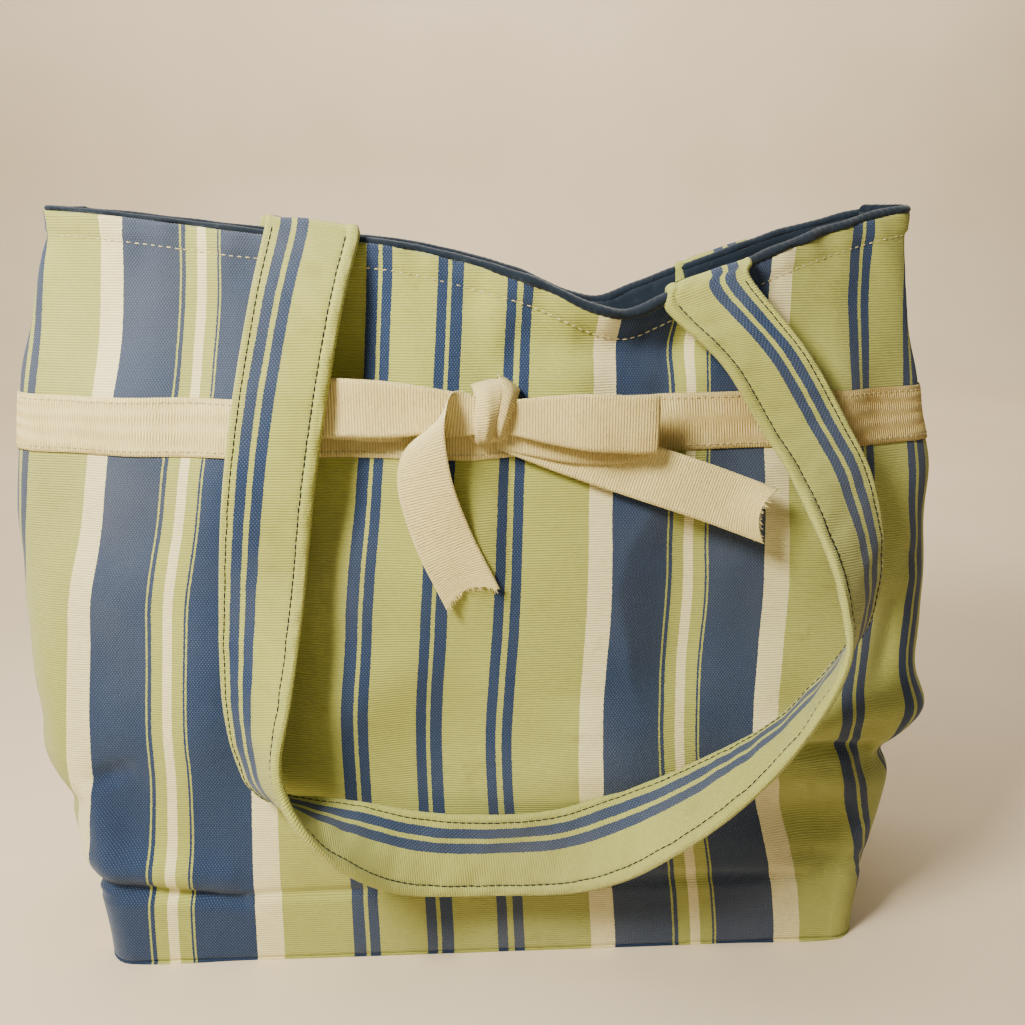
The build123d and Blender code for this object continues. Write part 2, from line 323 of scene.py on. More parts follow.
class Nodes:
    """A small helper for writing a material's nodes in order."""

    def __init__(self, name):
        self.material = bpy.data.materials.new(name)
        self.material.use_nodes = True
        self.tree = self.material.node_tree
        self.shader = self.tree.nodes["Principled BSDF"]

    def add(self, kind, **settings):
        node = self.tree.nodes.new(kind)
        for key, value in settings.items():
            setattr(node, key, value)
        return node

    def link(self, source, target):
        self.tree.links.new(source, target)

    def value(self, socket, source):
        if isinstance(source, (int, float)):
            socket.default_value = source
        else:
            self.link(source, socket)

    def math(self, operation, first, second=0.0, third=None):
        node = self.add("ShaderNodeMath", operation=operation)
        self.value(node.inputs[0], first)
        self.value(node.inputs[1], second)
        if third is not None:
            self.value(node.inputs[2], third)
        return node.outputs[0]

    def cloth_axes(self):
        """Distance across and along the cloth, in millimetres."""
        place = self.add("ShaderNodeUVMap", uv_map="Cloth")
        split = self.add("ShaderNodeSeparateXYZ")
        self.link(place.outputs[0], split.inputs[0])
        return self.times(split.outputs[0], 1000.0), self.times(split.outputs[1], 1000.0)

    def space(self):
        return self.add("ShaderNodeTexCoord").outputs["Object"]

    def noise(self, vector, scale, detail=3.0, roughness=0.55):
        node = self.add("ShaderNodeTexNoise")
        self.link(vector, node.inputs["Vector"])
        node.inputs["Scale"].default_value = scale
        node.inputs["Detail"].default_value = detail
        node.inputs["Roughness"].default_value = roughness
        return node.outputs[0]

    def ramp(self, factor, stops, interpolation="LINEAR"):
        node = self.add("ShaderNodeValToRGB")
        node.color_ramp.interpolation = interpolation
        elements = node.color_ramp.elements
        elements[0].position, elements[0].color = stops[0]
        elements[1].position, elements[1].color = stops[-1]
        for position, color in stops[1:-1]:
            element = elements.new(position)
            element.color = color
        self.link(factor, node.inputs[0])
        return node.outputs[0]

    def band(self, factor, low, high):
        """0 below low, 1 above high."""
        node = self.add("ShaderNodeMapRange")
        self.link(factor, node.inputs[0])
        node.inputs[1].default_value = low
        node.inputs[2].default_value = high
        return node.outputs[0]

    def mix(self, factor, first, second, blend="MIX"):
        node = self.add("ShaderNodeMix", data_type="RGBA", blend_type=blend)
        self.value(node.inputs[0], factor)
        for socket, source in ((node.inputs[6], first), (node.inputs[7], second)):
            if isinstance(source, tuple):
                socket.default_value = source
            else:
                self.link(source, socket)
        return node.outputs[2]

    def wave(self, distance, pitch):
        """A sine along a distance in millimetres, -1 to 1."""
        return self.math("SINE", self.times(distance, 2 * math.pi / pitch))

    def times(self, first, second):
        return self.math("MULTIPLY", first, second)

    def flipped(self, source):
        """1 less a value."""
        return self.math("SUBTRACT", 1.0, source)

    def crests(self, wave):
        """A wave of -1 to 1 as 0 to 1."""
        return self.math("MULTIPLY_ADD", wave, 0.5, 0.5)

    def bump(self, height, distance, strength):
        node = self.add("ShaderNodeBump")
        node.inputs["Strength"].default_value = strength
        node.inputs["Distance"].default_value = distance
        self.link(height, node.inputs["Height"])
        self.link(node.outputs[0], self.shader.inputs["Normal"])

    def finish(self, color, roughness, sheen=0.0):
        self.link(color, self.shader.inputs["Base Color"])
        self.value(self.shader.inputs["Roughness"], roughness)
        self.shader.inputs["Specular IOR Level"].default_value = 0.25
        self.shader.inputs["Sheen Weight"].default_value = sheen
        self.shader.inputs["Sheen Roughness"].default_value = 0.5
        return self.material


def stain(nodes, color, spots, space):
    """Faint dirt: broad uneven greying and a few darker spots."""
    broad = nodes.band(nodes.noise(space, 9.0, 4.0), 0.45, 0.75)
    shaded = nodes.mix(nodes.times(broad, 0.22), color, DIRT, "MULTIPLY")
    small = nodes.band(nodes.noise(space, 42.0, 5.0, 0.65), 0.62, 0.78)
    return nodes.mix(nodes.times(small, spots), shaded, DIRT, "MULTIPLY")


# One repeat of the stripes, as widths in millimetres.
THIN_LINES = [("green", 0.9), ("blue", 0.9), ("green", 0.9), ("blue", 0.8)]
DOUBLE = [("blue", 5.4), ("green", 2.2), ("blue", 5.4)]
STRIPES = (
    [("blue", 28.5)] + THIN_LINES + [("green", 6), ("cream", 5), ("green", 5.5)] + THIN_LINES
    + [("blue", 28.5), ("cream", 13), ("green", 34.5)] + DOUBLE + [("green", 23)] + DOUBLE
    + [("green", 22.5)] + DOUBLE + [("green", 33), ("cream", 13)]
)
STRIPE_REPEAT = sum(width for colour, width in STRIPES)
STRIPE_SHIFT = 192.5
CANVAS_RIB = 1.15
STRAP_STRIPES = [("green", 6.0), ("blue", 4.6), ("green", 2.4), ("blue", 4.8), ("green", 22.0)]


def stripe_stops(stripes, colours):
    """Colour-ramp stops for a run of stripes."""
    total = sum(width for colour, width in stripes)
    at = 0.0
    stops = []
    for colour, width in stripes:
        stops.append((at / total, colours[colour]))
        at += width
    return stops


def canvas_material(name, stripes, shift, fade):
    """Striped awning canvas: ribbed ground, basket weave in the blue stripes."""
    nodes = Nodes(name)
    across, along = nodes.cloth_axes()
    space = nodes.space()
    repeat = sum(width for colour, width in stripes)
    waver = nodes.times(nodes.math("SUBTRACT", nodes.noise(space, 14.0, 2.0), 0.5), 1.6)
    ragged = nodes.times(nodes.math("SUBTRACT", nodes.noise(space, 900.0, 1.0), 0.5), 0.7)
    placed = nodes.math("ADD", nodes.math("ADD", across, waver), nodes.math("ADD", ragged, shift))
    factor = nodes.math("FRACT", nodes.math("DIVIDE", placed, repeat))
    base = nodes.ramp(factor, stripe_stops(stripes, CANVAS_COLOURS), "CONSTANT")
    masks = {"green": (0, 0, 0, 1), "blue": (1, 1, 1, 1), "cream": (0, 0, 0, 1)}
    blue = nodes.ramp(factor, stripe_stops(stripes, masks), "CONSTANT")

    rib = nodes.crests(nodes.wave(along, CANVAS_RIB))
    weft = nodes.crests(nodes.wave(across, 0.62))
    dots = nodes.crests(nodes.times(nodes.wave(across, 1.5), nodes.wave(along, 1.9)))
    plain = nodes.math("ADD", nodes.times(rib, 0.8), nodes.times(weft, 0.2))
    height = nodes.math("ADD", nodes.times(plain, nodes.flipped(blue)), nodes.times(dots, blue))

    # Painted shade: the cloth's colour is darkened in the troughs between its ribs.
    shade = nodes.mix(nodes.times(nodes.flipped(rib), 0.30), base, (0.55, 0.52, 0.44, 1), "MULTIPLY")
    speck = nodes.times(nodes.times(nodes.band(dots, 0.66, 0.95), blue), 0.30)
    woven = nodes.mix(speck, shade, (0.40, 0.42, 0.42, 1))
    thread = nodes.band(nodes.noise(space, 420.0, 2.0), 0.3, 0.7)
    mottled = nodes.mix(nodes.times(thread, 0.16), woven, (0.62, 0.58, 0.5, 1), "MULTIPLY")
    patches = nodes.band(nodes.noise(space, 5.0, 3.0), 0.42, 0.7)
    faded = nodes.mix(nodes.times(patches, 0.12 + fade), mottled, (0.62, 0.58, 0.44, 1))
    color = stain(nodes, faded, 0.30, space)
    nodes.bump(height, 0.35 * MM, 0.75)
    return nodes.finish(color, 0.92, 0.25)


def ribbon_material(name, wear):
    """Ivory grosgrain, worn tan towards the right side; its ribs run across the ribbon."""
    nodes = Nodes(name)
    across, along = nodes.cloth_axes()
    space = nodes.space()
    rib = nodes.crests(nodes.wave(along, RIB_PITCH / MM))
    fine = nodes.crests(nodes.wave(across, 0.5))
    thread = nodes.noise(space, 520.0, 2.0)
    # Painted shade: the ribbon's colour is darkened in the troughs between its ribs.
    base = nodes.mix(nodes.times(nodes.flipped(rib), 0.62), IVORY, (0.58, 0.47, 0.27, 1), "MULTIPLY")
    split = nodes.add("ShaderNodeSeparateXYZ")
    nodes.link(space, split.inputs[0])
    side = nodes.band(split.outputs[0], 0.02, 0.16)
    blotch = nodes.band(nodes.noise(space, 26.0, 4.0, 0.6), 0.40, 0.68)
    reach = nodes.math("MULTIPLY_ADD", side, 0.30 * wear, 0.20 * wear)
    worn = nodes.math("MULTIPLY_ADD", blotch, reach, nodes.times(side, 0.45 * wear))
    tan = nodes.mix(worn, base, (0.46, 0.32, 0.15, 1), "MULTIPLY")
    lint = nodes.times(nodes.band(thread, 0.3, 0.7), 0.14)
    color = nodes.mix(lint, tan, (0.6, 0.5, 0.36, 1), "MULTIPLY")
    height = nodes.math("ADD", nodes.times(rib, 0.6), nodes.times(fine, 0.4))
    nodes.bump(height, 0.35 * MM, 0.8)
    return nodes.finish(color, 0.78, 0.15)


def lining_material():
    """Plain navy cotton."""
    nodes = Nodes("navy_lining_cotton")
    space = nodes.space()
    across, along = nodes.cloth_axes()
    weave = nodes.times(nodes.wave(across, 0.7), nodes.wave(along, 0.7))
    lint = nodes.band(nodes.noise(space, 300.0, 3.0, 0.7), 0.58, 0.8)
    base = nodes.mix(nodes.times(nodes.crests(weave), 0.35), NAVY, rgb(58, 72, 86))
    dusty = nodes.mix(nodes.times(lint, 0.35), base, LINT)
    patches = nodes.band(nodes.noise(space, 12.0, 3.0), 0.4, 0.75)
    color = nodes.mix(nodes.times(patches, 0.3), dusty, rgb(20, 30, 38))
    nodes.bump(weave, 0.12 * MM, 0.5)
    return nodes.finish(color, 0.9, 0.3)


def thread_material(name, color):
    nodes = Nodes(name)
    space = nodes.space()
    twist = nodes.band(nodes.noise(space, 1400.0, 1.0), 0.35, 0.65)
    shade = nodes.mix(nodes.times(twist, 0.4), color, (0.5, 0.45, 0.38, 1), "MULTIPLY")
    return nodes.finish(shade, 0.7, 0.1)


def board_material():
    nodes = Nodes("fibre_board_brown")
    space = nodes.space()
    fibre = nodes.noise(space, 260.0, 5.0, 0.7)
    color = nodes.ramp(fibre, [(0.3, rgb(120, 96, 66)), (0.7, rgb(158, 132, 96))])
    nodes.bump(fibre, 0.1 * MM, 0.4)
    return nodes.finish(color, 0.85)


canvas = canvas_material("striped_canvas_cloth", STRIPES, STRIPE_SHIFT, 0.0)
strap_cloth = canvas_material("strap_canvas_cloth", STRAP_STRIPES, 0.0, 0.05)
ribbon = ribbon_material("ivory_grosgrain", 1.0)
fresh_ribbon = ribbon_material("ivory_grosgrain_tails", 0.12)
lining_cloth = lining_material()
cream_thread = thread_material("cream_sewing_thread", rgb(206, 196, 152))
navy_thread = thread_material("navy_sewing_thread", rgb(30, 40, 62))
board = board_material()


# ------------------------------------------------------------------ the bag's surface
def half_outline(z, inset, side):
    """Dense points of one half of the outline at a height, left seam to right seam."""
    width, depth, end_depth, corner = [
        float(smooth_curve(z, LEVELS[:, 0], LEVELS[:, k])) for k in (1, 2, 3, 4)
    ]
    half = width / 2 - inset
    end = end_depth / 2 - inset
    bow = (depth - end_depth) / 2
    radius = max(corner - inset, 0.5 * MM)
    flank = [(half, (end - radius) * k / 12) for k in range(12)]
    bend = [
        (half - radius + radius * math.cos(a), end - radius + radius * math.sin(a))
        for a in np.linspace(0, math.pi / 2, 16, endpoint=False)
    ]
    face = [((half - radius) * (1 - k / 60), end) for k in range(61)]
    quarter = np.array(flank + bend + face)
    quarter[:, 1] += bow * (1 - (quarter[:, 0] / half) ** 2) * quarter[:, 1] / end
    left = quarter * (-1, 1)
    whole = np.vstack([left[:-1], quarter[::-1]])
    whole[:, 1] *= side
    return whole


def rim_height(x):
    places, dips = zip(*RIM_DIPS)
    return CORNER_HEIGHT - smooth_curve(x / MM, places, dips) * MM


TABLE_HEIGHTS = np.concatenate([np.linspace(0, 60, 31), np.linspace(64, TOP_LEVEL / MM, 76)]) * MM
SHARES = np.linspace(-1, 1, 361)


# The cloth is eased into the shape: its stripes crowd together towards the rim.
FULLNESS_HEIGHTS = [0, 25, 110, 170, 228, 290, 360]
FULLNESS = [1.015, 1.025, 1.09, 1.09, 1.145, 1.19, 1.20]
DRIFT = [2.6, 3.4, 8.6, 4.8, 1.5, -2.6, -6.5]


def stripe_place(s, z, side):
    """Where a point of the panel lies across the striped cloth."""
    fullness = smooth_curve(z / MM, FULLNESS_HEIGHTS, FULLNESS)
    drift = smooth_curve(z / MM, FULLNESS_HEIGHTS, DRIFT) * MM
    return s * fullness + drift * (1.0 if side < 0 else -0.6)


class PanelSurface:
    """One half of the bag as a surface over share (-1 left seam, +1 right seam) and height."""

    def __init__(self, inset, side):
        self.side = side
        rows = []
        for z in TABLE_HEIGHTS:
            outline = half_outline(z, inset, side)
            length = arc_length(outline)
            s = length - length[-1] / 2
            at = SHARES * s[-1]
            row = [np.interp(at, s, outline[:, 0]), np.interp(at, s, outline[:, 1]), at]
            rows.append(np.column_stack(row))
        self.rows = np.array(rows)

    def raw(self, share, z):
        """x, y and cloth distance from the middle, with no folds."""
        share_at = (np.clip(share, -1, 1) + 1) / 2 * (len(SHARES) - 1)
        z_at = np.interp(z, TABLE_HEIGHTS, np.arange(len(TABLE_HEIGHTS)))
        i = np.clip(np.floor(z_at).astype(int), 0, len(TABLE_HEIGHTS) - 2)
        j = np.clip(np.floor(share_at).astype(int), 0, len(SHARES) - 2)
        fi = (z_at - i)[..., None]
        fj = (share_at - j)[..., None]
        low = self.rows[i, j] * (1 - fj) + self.rows[i, j + 1] * fj
        high = self.rows[i + 1, j] * (1 - fj) + self.rows[i + 1, j + 1] * fj
        return low * (1 - fi) + high * fi

    def place(self, share, z, lift=0.0):
        """Points, outward normals and cloth distance, with folds and sag."""
        share, z = np.broadcast_arrays(np.asarray(share, float), np.asarray(z, float))
        here = self.raw(share, z)
        step = 0.004
        tangent = unit((self.raw(share + step, z) - self.raw(share - step, z))[..., :2])
        outward = np.stack([-tangent[..., 1], tangent[..., 0], 0 * z], -1) * self.side
        points = np.stack([here[..., 0], here[..., 1], z], -1)
        offset = cloth_relief(here[..., 2], z, here[..., 0], self.side) + lift
        points = points + outward * offset[..., None]
        points[..., 0] -= np.sign(points[..., 0]) * side_tuck(points, z)
        return points, outward, here[..., 2]


def side_tuck(points, z):
    """How far each side is pushed in along its seam, towards the mouth."""
    depth = 20 * MM * smooth_curve(z, [0, 120 * MM, 230 * MM, TOP_LEVEL], [0, 0, 0.45, 1.0])
    half_side = smooth_curve(z, LEVELS[:, 0], LEVELS[:, 3] / 2)
    near = np.clip(1 - np.abs(points[..., 1]) / half_side, 0, 1)
    at_end = np.clip((np.abs(points[..., 0]) - 150 * MM) / (30 * MM), 0, 1)
    return depth * near * at_end


# Folds as lines on the cloth, in millimetres: distance and height of both ends, width, depth.
FRONT_FOLDS = [
    (-196, 45, -118, 33, 3.4, -3.4), (-192, 56, -125, 46, 7, 2.6), (-186, 88, -176, 52, 8, 2.4),
    (-184, 94, -170, 100, 5, -2.2), (-150, 60, -140, 110, 16, 1.6),
    (128, 104, 190, 99, 3.2, -4.2), (140, 110, 186, 118, 8, 2.8), (150, 86, 186, 84, 9, 3.0),
    (132, 74, 172, 62, 14, -5.0), (150, 48, 188, 42, 5, -2.4), (176, 96, 184, 60, 6, 2.6),
    (192, 112, 204, 190, 10, -4.0), (200, 116, 242, 112, 14, 7.0), (188, 92, 242, 88, 7, -5.0),
    (-242, 100, -205, 104, 14, 3.0), (-240, 84, -196, 80, 7, -3.0), (60, 40, 170, 38, 3, -1.4),
    (-110, 36, 60, 38, 3, -1.2),
    (-118, 300, -142, 215, 20, -3.0), (-60, 312, -66, 232, 16, -2.6), (-30, 310, -28, 250, 12, 2.0),
    (-5, 312, 0, 270, 9, -2.2), (120, 300, 150, 240, 16, -3.2), (158, 320, 166, 250, 12, 2.2),
    (20, 308, 6, 280, 8, -2.4), (90, 308, 80, 276, 8, -2.6), (36, 190, 60, 110, 26, 3.0),
    (-60, 200, -64, 110, 18, 2.6), (-96, 190, -104, 90, 12, -2.2), (90, 200, 84, 120, 16, -2.4),
    (30, 296, 92, 292, 9, -4.0),
]
BACK_FOLDS = [
    (-186, 44, -140, 58, 6, -3.0), (150, 60, 190, 42, 6, -2.8), (-190, 80, -150, 70, 14, 2.4),
    (-130, 38, 140, 38, 4, -0.9), (0, 250, 20, 120, 24, -2.2), (-100, 300, -120, 220, 16, -1.8),
    (-242, 112, -200, 116, 14, 6.0), (-242, 88, -188, 92, 7, -5.0), (205, 104, 242, 100, 14, 3.0),
    (196, 80, 240, 84, 7, -3.0), (110, 300, 130, 210, 16, -1.8), (40, 318, 30, 280, 9, -1.6),
]


FOLD_STRENGTH = 1.35


def cloth_relief(s, z, x, side):
    """How far the cloth stands in or out from its even shape."""
    relief = np.zeros(np.broadcast(s, z).shape)
    for s0, z0, s1, z1, width, depth in (FRONT_FOLDS if side < 0 else BACK_FOLDS):
        start = np.array([s0, z0]) * MM
        run = np.array([s1 - s0, z1 - z0]) * MM
        ds = s - start[0]
        dz = z - start[1]
        t = np.clip((ds * run[0] + dz * run[1]) / (run @ run), 0, 1)
        away = np.hypot(ds - t * run[0], dz - t * run[1])
        fade = np.sin(math.pi * np.clip(t, 0.12, 0.88)) ** 0.5
        relief += FOLD_STRENGTH * depth * MM * np.exp(-(away / (width * MM)) ** 2) * fade
    flat = np.stack([s, z * 0.8, np.full_like(s, side * 0.3)], -1)
    soft = np.clip((z - BOARD_FOLD) / (60 * MM), 0, 1)
    calm_sides = np.clip((235 * MM - np.abs(s)) / (70 * MM), 0.25, 1)
    relief += 3.2 * MM * soft * calm_sides * wobble(flat, 70 * MM, 3.1)
    relief += 1.1 * MM * soft * wobble(flat, 27 * MM, 8.3)
    below = rim_height(x) - z
    near_rim = np.exp(-np.clip(below, 0, None) / (16 * MM))
    relief += 1.2 * MM * near_rim * wobble(flat, 12 * MM, 5.9)
    relief += 0.5 * MM * np.clip((10.5 * MM - below) / (1.5 * MM), 0, 1)
    sag = np.exp(-((x - 55 * MM) / (38 * MM)) ** 2)
    relief += 8.0 * MM * sag * np.exp(-np.clip(below, 0, None) / (13 * MM))
    stitch_line = np.exp(-((below - RIM_STITCH_DROP) / (1.3 * MM)) ** 2)
    relief -= 0.55 * MM * stitch_line
    board_line = np.exp(-((z - BOARD_FOLD) / (2.0 * MM)) ** 2)
    relief -= 0.9 * MM * board_line
    if side < 0:
        # The cloth lies flat where the bow's right tail hangs and swings over it.
        across = np.clip((80 * MM - np.abs(x - 75 * MM)) / (16 * MM), 0, 1)
        upright = np.clip((76 * MM - np.abs(z - 196 * MM)) / (16 * MM), 0, 1)
        relief = relief - np.maximum(relief, 0) * across * upright
    bottom_round = np.clip(1 - z / (2.5 * MM), 0, 1)
    return relief - 1.5 * MM * bottom_round ** 2


SIDES = {"front": -1, "back": 1}
outer = {name: PanelSurface(0.0, side) for name, side in SIDES.items()}
inner = {name: PanelSurface(LINING_INSET, side) for name, side in SIDES.items()}


def rim_of(surface, share):
    """Height of the rim at a share across the panel."""
    x = surface.raw(share, np.full_like(share, CORNER_HEIGHT - 20 * MM))[..., 0]
    return rim_height(x)


def panel_grid(surface, shares, levels):
    """Shares and heights of a grid from the base to the rim; levels run 0 to 1."""
    z = levels[:, None] * rim_of(surface, shares)[None, :] + 0.2 * MM
    return np.broadcast_to(shares[None, :], z.shape), z


# How the hem turns in at the rim and runs down inside, in millimetres: drop, inset.
HEM = [(0.4, 0.5), (0.5, 1.3), (2.0, 1.6), (5.0, 1.6), (8.5, 1.6), (12.0, 1.5)]


def make_panels():
    for name, side in SIDES.items():
        surface = outer[name]
        shares = np.linspace(-1, 1, 321)
        below_fold = np.linspace(0, 0.16, 34, endpoint=False)
        levels = np.concatenate([below_fold, np.linspace(0.16, 1, 150)])
        share, z = panel_grid(surface, shares, levels)
        points, _, s = surface.place(share, z)
        rows = [points]
        cloth = [np.stack([stripe_place(s, z, side), z], -1)]
        for drop, inset in HEM:
            turned, _, s = surface.place(share[-1:], z[-1:] - drop * MM, -inset * MM)
            rows.append(turned)
            cloth.append(np.stack([stripe_place(s, z[-1:], side), z[-1:] + drop * MM], -1))
        panel = grid_object(f"{name}_canvas", np.vstack(rows), canvas, np.vstack(cloth), flip=side > 0)
        thicken(panel, PANEL_CLOTH)
        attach(panel, "bag")
        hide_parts(f"{name}_panel", f"rim_hem_{name}")


def make_seam_allowances():
    for name in SIDES:
        for end, first, last in (("left", -1, -0.958), ("right", 0.958, 1)):
            share, z = panel_grid(outer[name], np.linspace(first, last, 5), np.linspace(0.02, 0.955, 90))
            points, _, s = outer[name].place(share, z, -1.9 * MM)
            allowance = grid_object(f"{name}_seam_{end}", points, canvas, np.stack([s, z], -1))
            thicken(allowance, SEAM_CLOTH)
            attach(allowance, "bag")
            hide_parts(f"{name}_seam_allowance_{end}")


def make_linings():
    for name, side in SIDES.items():
        levels = np.linspace(0.012, 1, 110)
        share, z = panel_grid(inner[name], np.linspace(-1, 1, 181), levels)
        points, outward, s = inner[name].place(share, z)
        crease = wobble(np.stack([s, z * 0.35, np.full_like(s, 2.0 * side)], -1), 30 * MM, 1.1)
        slack = 1.6 * MM * np.clip(1 - levels, 0, 0.6)[:, None]
        points = points - outward * (np.abs(crease) * slack)[..., None]
        sheet = grid_object(
            f"{name}_lining", points, lining_cloth, np.stack([s, z], -1), flip=side > 0
        )
        thicken(sheet, LINING_CLOTH)
        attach(sheet, "bag")
        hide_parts(f"lining_{name}")


# How full the rolled edge is, place by place along X in millimetres.
LIP_PLACES = [-201, -150, -60, 0, 60, 120, 160, 201]
LIP_FULLNESS = [0.55, 0.6, 0.75, 0.95, 1.25, 1.15, 1.1, 0.95]


def make_rim_rolls():
    """The lining's edge rolls over the top of the canvas as a soft rope-like lip."""
    sides = TUBE_SIDES["lip"]
    for name, side in SIDES.items():
        surface = outer[name]
        shares = np.linspace(-1, 1, 721)
        top = rim_of(surface, shares)
        centre, outward, s = surface.place(shares, top + 1.0 * MM, -1.9 * MM)
        fat = np.interp(centre[:, 0] / MM, LIP_PLACES, LIP_FULLNESS)
        rings = []
        for k in range(sides):
            angle = 2 * math.pi * k / sides
            around = np.column_stack([s, np.full_like(s, angle * 4 * MM), 0 * s])
            lumps = 1 + 0.16 * wobble(around, 14 * MM, 2.2)
            rope = 1 + 0.03 * np.sin(2 * math.pi * s / (3.1 * MM) + angle)
            reach = fat * lumps * rope
            out = 2.7 * MM * np.cos(angle) * reach
            up = 2.1 * MM * np.sin(angle) * reach
            rings.append(centre + outward * out[:, None] + np.array([0, 0, 1.0]) * up[:, None])
        points = np.stack(rings, 1)
        uvs = cloth_uvs(s[:, None], np.arange(sides) * MM, points)
        roll = grid_object(f"{name}_rim_lip", points, lining_cloth, uvs, wrap=True, flip=side < 0)
        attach(roll, "bag")
        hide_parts(f"rim_roll_{name}")


STITCHED_SHARES = np.linspace(-0.995, 0.995, 900)


def make_topstitching():
    for name in SIDES:
        height = rim_of(outer[name], STITCHED_SHARES) - RIM_STITCH_DROP
        path, normals, _ = outer[name].place(STITCHED_SHARES, height, 0.05 * MM)
        label = f"{name}_rim_stitching"
        row = stitches(label, path, normals, 3.5 * MM, 2.7 * MM, 0.32 * MM, cream_thread)
        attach(row, "bag")


def make_band():
    """The grosgrain band sewn round the bag, ribbed in its geometry."""
    for name, side in SIDES.items():
        surface = outer[name]
        shares = np.linspace(-1, 1, 1501)
        width_steps = np.linspace(-0.5, 0.5, 15)
        s = surface.raw(shares, np.full_like(shares, BAND_MIDDLE))[..., 2]
        droop = 1.2 * MM * wobble(np.column_stack([s, 0 * s, 0 * s + side]), 120 * MM, 4.4)
        z = BAND_MIDDLE + width_steps[:, None] * RIBBON_WIDTH + droop[None, :]
        edge = np.abs(width_steps[:, None]) * 2
        rib = rib_wave(s)[None, :] * (edge < 0.93)
        pull = -0.25 * MM * np.exp(-((edge - 0.82) / 0.06) ** 2)
        points, outward, s_grid = surface.place(shares[None, :], z, RIBBON_LIFT)
        points = points + outward * (rib + pull)[..., None]
        band = grid_object(
            f"{name}_ribbon_band", points, ribbon, np.stack([z, s_grid], -1), flip=side > 0
        )
        thicken(band, RIBBON)
        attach(band, "bag")
        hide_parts(f"ribbon_band_{name}")
        for edge_name, share_of_width in (("upper", 0.41), ("lower", -0.41)):
            droop_line = np.interp(STITCHED_SHARES, shares, droop)
            height = BAND_MIDDLE + share_of_width * RIBBON_WIDTH + droop_line
            path, normals, _ = surface.place(STITCHED_SHARES, height, RIBBON_LIFT)
            label = f"{name}_band_stitching_{edge_name}"
            row = stitches(label, path, normals, 3.1 * MM, 2.3 * MM, 0.24 * MM, cream_thread)
            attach(row, "bag")
            if edge_name == "upper":
                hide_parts(f"band_stitches_{name}")


def ribbon_rows(line, rows, softness, drift, scale, seed, curl=0.0):
    """Points, cloth distances, normals and length of a ribbed ribbon round its centre line."""
    centre, cross, normal = strip_axes(line)
    length = arc_length(centre)
    steps = np.linspace(-0.5, 0.5, rows)
    lines = []
    for step in steps:
        soft = softness * wobble(centre + step * drift, scale, seed)
        curled = curl * (2 * step) ** 2 * (length / length[-1])
        lift = rib_wave(length) * (abs(step) < RIBBED_SHARE) + curled + soft
        lines.append(centre + cross * (line[:, 6] * step)[:, None] + normal * lift[:, None])
    points = np.stack(lines)
    uvs = cloth_uvs(steps[:, None] * RIBBON_WIDTH, length[None, :], points)
    return points, uvs, normal, float(length[-1])


def loop(name, node, start, tip, back_y, front_y, tilt):
    """A ribbon that leaves the knot, folds over at its tip and comes back behind."""
    root_x, root_y, root_z = start
    tip_x, tip_z = tip
    mid_x = root_x + (tip_x - root_x) * 0.5
    late_x = root_x + (tip_x - root_x) * 0.86
    mid_z = (root_z + tip_z) / 2
    route = np.array([
        (root_x, root_y - 1.5 * MM, root_z),
        (mid_x, front_y, mid_z),
        (late_x, front_y + 0.8 * MM, tip_z),
        (tip_x, (back_y + front_y) / 2, tip_z - 0.5 * MM),
        (late_x, back_y - 0.8 * MM, tip_z - 0.6 * tilt),
        (mid_x, back_y, mid_z - tilt),
        (root_x, root_y + 1.5 * MM, root_z - 1.1 * tilt),
    ])
    widths = np.array([13, 23.5, 25, 25, 25, 23.5, 13]) * MM
    line = spline_points(np.column_stack([route, np.array([(0.0, 0.0, 1.0)] * 7), widths]), 520)
    points, uvs, _, length = ribbon_rows(line, 13, 0.5 * MM, 9 * MM, 16 * MM, 6.1)
    piece = grid_object(name, points, ribbon, uvs)
    thicken(piece, RIBBON, 0.0)
    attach(piece, "bag")
    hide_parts(node)


# Turns of ribbon round the knot: x of the left edge at foot and top, the same for the right
# edge, reach, height of the middle, share of the knot's height, pleats, lean (millimetres).
KNOT_TURNS = [
    ("bow_knot_wrap", (-5.0, -7.0), (2.0, 9.0), 1.05, 0.0, 1.02, 2.0, 2.5),
    ("bow_knot_fold", (0.5, 4.5), (5.5, 14.0), 0.94, 1.4, 0.90, 1.5, -6.5),
    ("bow_knot_under", (-9.5, -4.0), (-1.0, 0.0), 0.62, -5.5, 0.62, 1.0, -3.5),
    ("bow_knot_tuck", (-0.5, 0.0), (10.5, 6.0), 0.60, -5.0, 0.58, 1.0, 2.5),
]


